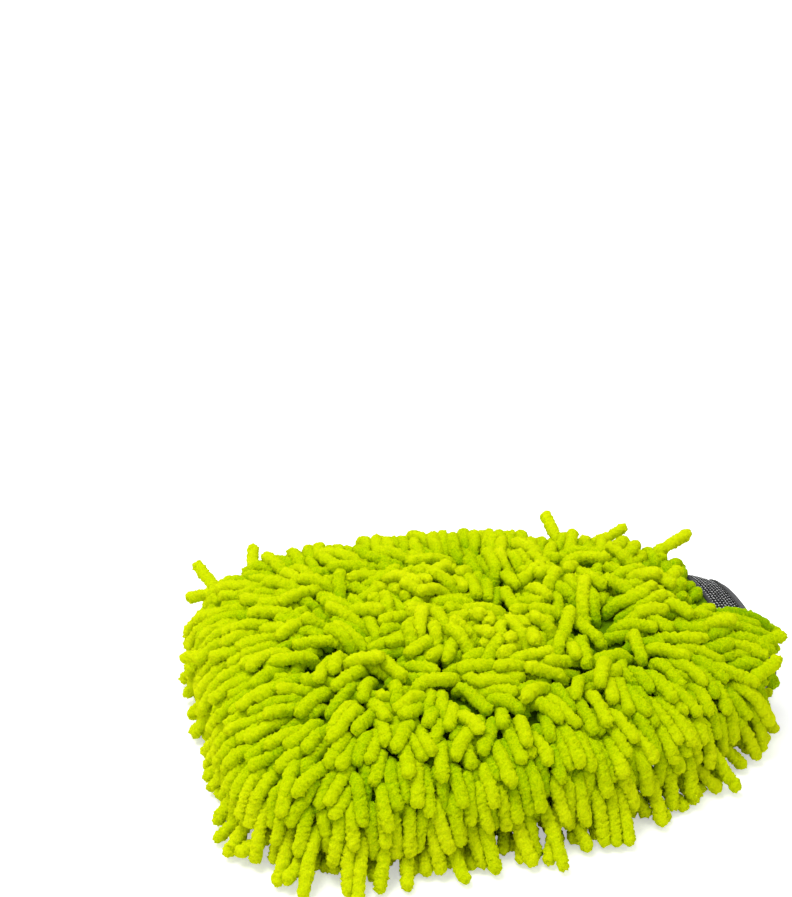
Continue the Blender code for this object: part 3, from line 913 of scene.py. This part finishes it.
def fleck_tree():
    """Small grains set on points, each lying the way of its point's rotation."""
    tree = bpy.data.node_groups.new("knit_flecks", "GeometryNodeTree")
    socket(tree, "Places", "NodeSocketGeometry")
    numbers(tree, {"Length": 0.0014, "Width": 0.00058, "Height": 0.00040, "Variation": 0.18})
    socket(tree, "Seed", "NodeSocketInt", 3)
    socket(tree, "Material", "NodeSocketMaterial")
    socket(tree, "Flecks", "NodeSocketGeometry", out=True)
    given = node(tree, "NodeGroupInput").outputs
    grain = node(tree, "GeometryNodeMeshUVSphere", {"Segments": 6, "Rings": 5, "Radius": 0.5})
    lie = node(tree, "GeometryNodeInputNamedAttribute", {"Name": "lie"}, data_type="FLOAT_VECTOR")
    size = node(tree, "ShaderNodeCombineXYZ", {0: given["Length"], 1: given["Width"], 2: given["Height"]})
    low = maths(tree, "SUBTRACT", 1.0, given["Variation"])
    high = maths(tree, "ADD", 1.0, given["Variation"])
    vary = node(tree, "FunctionNodeRandomValue", {2: low, 3: high, "Seed": given["Seed"]}, data_type="FLOAT")
    scale = node(tree, "ShaderNodeVectorMath", {0: size.outputs[0], "Scale": vary.outputs[1]},
                 operation="SCALE")
    points = node(tree, "GeometryNodeMeshToPoints", {"Mesh": given["Places"]})
    spread = node(tree, "GeometryNodeInstanceOnPoints", {"Points": points.outputs[0],
                                                         "Instance": grain.outputs[0],
                                                         "Rotation": lie.outputs[0],
                                                         "Scale": scale.outputs[0]})
    smooth = node(tree, "GeometryNodeSetShadeSmooth", {"Geometry": spread.outputs[0]})
    finish_tree(tree, smooth.outputs[0], given["Material"], "Flecks")
    return tree


def fleck_piece(name, depth, side, tree, material):
    """Light flecks worked into one face of a cuff ply, in rows whose slant turns from fleck to fleck."""
    places, turns = [], []
    tiny = 1e-4
    for row, x in enumerate(np.arange(CUFF_START_X + 0.001, PLY_END_X - 0.002, FLECK_ROW)):
        angles = ring_angles(x, depth, FLECK_PITCH, 0.5 * (row % 2))
        here = body_point(x, angles, depth)
        around = body_point(x, angles + tiny, depth) - here
        along = body_point(x + tiny, angles, depth) - here
        for index in range(len(angles)):
            first, second = Vector(around[index]).normalized(), Vector(along[index]).normalized()
            out = first.cross(second).normalized() * -side
            slant = FLECK_SLANT if (index + row) % 2 else -FLECK_SLANT
            way = (first * math.cos(slant) + second * math.sin(slant)).normalized()
            places.append(here[index] + np.array(out) * FLECK_LIFT)
            turns.append(Matrix((way, out.cross(way), out)).transposed().to_euler())
    mesh = bpy.data.meshes.new(name)
    mesh.from_pydata([tuple(place) for place in places], [], [])
    values = np.array([tuple(turn) for turn in turns], np.float32)
    mesh.attributes.new("lie", "FLOAT_VECTOR", "POINT").data.foreach_set("vector", values.reshape(-1))
    piece = add_object(name, mesh)
    run_tree(piece, tree, {"Material": material, "Seed": 3 + side})
    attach(piece, "root")
    return piece


# ---------------------------------------------------------------- stitching

def thread_piece(name, runs, tree, material):
    """Threads swept along runs of points, all of one thickness."""
    lines = line_object(name, [(points, {"thickness": np.full(len(points), radius)})
                               for points, radius in runs])
    return run_tree(lines, tree, {"Material": material, "Sides": 7, "Lump Height": 0.0, "Tuft Height": 0.0})


def overlock_turns(length):
    """Where a thread wound round an edge goes: along it, across it and through it, at each point."""
    turns = int(length / OVERLOCK_PITCH)
    shape = np.array([(0.00, 0.0, 1.0), (0.15, 0.5, 1.15), (0.30, 1.0, 1.0), (0.50, 1.0, -1.0),
                      (0.65, 0.5, -1.15), (0.85, 0.0, -1.0)])
    turn = np.repeat(np.arange(turns), len(shape))
    along, across, through = np.tile(shape, (turns, 1)).T
    return (turn + along) * OVERLOCK_PITCH, across, through


def build_stitching(tree, materials):
    """The overlocked seam of the body, the overlocked join of the cuff and the binding's top stitches."""
    low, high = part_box("body_overlock_seam")
    seam_depth = low.x - TIP_X
    half = (high.z - low.z) / 2 - OVERLOCK_RADIUS
    edges = []
    for depth in (seam_depth, seam_depth + SEAM_WIDTH):
        x = stations(high.x, 60, 120, depth)
        y = plan_half_width(x, depth)
        edges.append(np.stack([np.concatenate([x[::-1], x]), np.concatenate([y[::-1], -y])], -1))
    travelled = distances_along(edges[0], 0)
    along, across, through = overlock_turns(travelled[-1])
    places = [np.stack([np.interp(along, travelled, edge[:, axis]) for axis in (0, 1)], -1) for edge in edges]
    plan = places[0] * (1 - across[:, None]) + places[1] * across[:, None]
    seam = np.column_stack([plan, SEAM_Z + through * half])
    piece = thread_piece("body_seam_stitching", [(seam, OVERLOCK_RADIUS)], tree, materials["thread"])
    fit(piece, "body_overlock_seam")

    fine = np.linspace(0, 2 * math.pi, 2001)
    travelled = distances_along(body_point(JOIN_LOW.x, fine), 0)
    along, across, through = overlock_turns(travelled[-1])
    angle = np.interp(along, travelled, fine)
    x = JOIN_LOW.x + JOIN_RADIUS + across * (JOIN_HIGH.x - JOIN_LOW.x - 2 * JOIN_RADIUS)
    depth = FOAM_DEPTH - GAP - JOIN_HALF - through * (JOIN_HALF - JOIN_RADIUS)
    join = np.array([body_point(*place) for place in zip(x, angle, depth)])
    piece = thread_piece("cuff_join_stitching", [(join, JOIN_RADIUS)], tree, materials["cuff_thread"])
    fit(piece, "cuff_join_overlock")

    x = (STITCH_LOW.x + STITCH_HIGH.x) / 2
    face = FOAM_DEPTH - GAP - BINDING
    runs = []
    starts = ring_angles(x, face, STITCH_PITCH)
    for start, after in zip(starts, np.append(starts[1:], 2 * math.pi)):
        share = np.linspace(0, STITCH_LENGTH / STITCH_PITCH, 7)
        lift = STITCH_RADIUS * (1.6 * np.sin(math.pi * np.linspace(0, 1, 7)) ** 0.5 - 1.0)
        runs.append((body_point(x, start + (after - start) * share, face - lift), STITCH_RADIUS))
    piece = thread_piece("cuff_top_stitches", runs, tree, materials["cuff_thread"])
    fit(piece, "cuff_topstitch_thread")


strand_tints = rng.random(len(roots))
nap = nap_group()
materials = build_materials(nap)
sweep = strand_tree()
strands = build_strands(sweep, materials["chenille"])
build_panels(materials)
build_cuff_layers(materials)
build_stitching(sweep, materials)


# ---------------------------------------------------------------- stage

CAMERA_PLACE = Vector((-0.205, -0.715, 0.549))
CAMERA_TARGET = Vector((0.0, 0.0, 0.0305))
CAMERA_LENS, SENSOR = 76.4, 36.0
TARGET_ACROSS, TARGET_UP = 0.6109, 0.2671
ASPECT = 792 / 897
FLOOR_HALF, FLOOR_Z = 4.0, -0.0004
FLOOR_GLOW = 0.45
SKY_STRENGTH = 0.64


def place_camera():
    """A level camera, turned so that the mitt lies low and right of the middle of the frame."""
    camera = add_object("camera", bpy.data.cameras.new("camera"))
    camera.data.lens = CAMERA_LENS
    camera.data.sensor_width = SENSOR
    focal = CAMERA_LENS / SENSOR
    ray = Vector(((TARGET_ACROSS - 0.5) * ASPECT / focal, (TARGET_UP - 0.5) / focal, -1))
    ray.normalize()
    wanted = (CAMERA_TARGET - CAMERA_PLACE).normalized()
    tilt = math.tau + math.atan2(ray.y, ray.z) - math.acos(wanted.z / math.hypot(ray.y, ray.z))
    tilted_y = ray.y * math.cos(tilt) - ray.z * math.sin(tilt)
    turn = math.atan2(wanted.y, wanted.x) - math.atan2(tilted_y, ray.x)
    camera.location = CAMERA_PLACE
    camera.rotation_euler = (tilt, 0, turn)
    bpy.context.scene.camera = camera


def add_area_light(name, place, size, power):
    """A round lamp that shines on the mitt."""
    lamp = bpy.data.lights.new(name, "AREA")
    lamp.shape = "DISK"
    lamp.size = size
    lamp.energy = power
    obj = add_object(name, lamp)
    obj.location = place
    obj.rotation_euler = (-Vector(place)).to_track_quat("-Z", "Y").to_euler()


def build_stage():
    """A white floor and sky, the key light over the mitt and a weak fill from the right."""
    mesh = bpy.data.meshes.new("floor")
    corners = ((-1, -1), (1, -1), (1, 1), (-1, 1))
    mesh.from_pydata([(x * FLOOR_HALF, y * FLOOR_HALF, FLOOR_Z) for x, y in corners], [], [(0, 1, 2, 3)])
    floor = add_object("floor", mesh)
    material, tree, shader = new_material("pale_floor", 0.8, specular=0.1)
    shader.inputs["Base Color"].default_value = (0.94, 0.94, 0.94, 1)
    shader.inputs["Emission Color"].default_value = (1, 1, 1, 1)
    seen = node(tree, "ShaderNodeLightPath").outputs["Is Camera Ray"]
    tree.links.new(maths(tree, "MULTIPLY", seen, FLOOR_GLOW), shader.inputs["Emission Strength"])
    mesh.materials.append(material)
    world = bpy.data.worlds.new("studio")
    world.use_nodes = True
    world.node_tree.nodes["Background"].inputs["Color"].default_value = (1, 1, 1, 1)
    world.node_tree.nodes["Background"].inputs["Strength"].default_value = SKY_STRENGTH
    bpy.context.scene.world = world
    add_area_light("key", (-0.45, 0.05, 1.45), 0.9, 16)
    add_area_light("fill", (0.9, -0.9, 0.9), 1.0, 1.2)
    bpy.context.scene.view_settings.view_transform = "Standard"


place_camera()
build_stage()
